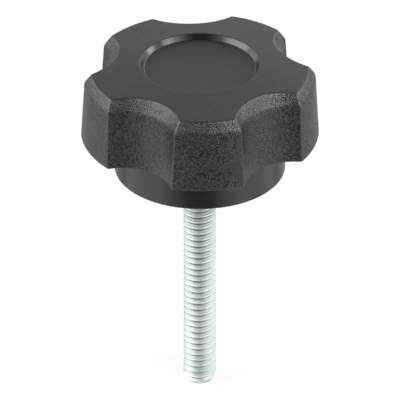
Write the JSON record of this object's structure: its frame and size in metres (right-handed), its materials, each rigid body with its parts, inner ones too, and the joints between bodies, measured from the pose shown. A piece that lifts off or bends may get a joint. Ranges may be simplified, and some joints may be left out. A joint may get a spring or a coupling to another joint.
{
  "type": "lobed clamping knob with threaded stud",
  "caption": "Black moulded star knob with finger flutes, a shallow round recess in its top and a smooth hub, on a zinc-plated threaded stud, for clamping by hand.",
  "frame": {"origin": "centre of the hub's seating face, on the stud's axis", "axes": "+Z along the stud's axis towards the top of the head, one lobe points along -Y"},
  "size_m": [0.0444, 0.0433, 0.069],
  "materials": {
    "knob_plastic": "black moulded plastic with a fine sparked grain on the lobes and a smoother top and hub",
    "zinc_steel": "bright zinc-plated steel"
  },
  "bodies": {
    "root": {"knob_head": "knob_plastic", "threaded_stud": "zinc_steel"}
  },
  "joints": []
}
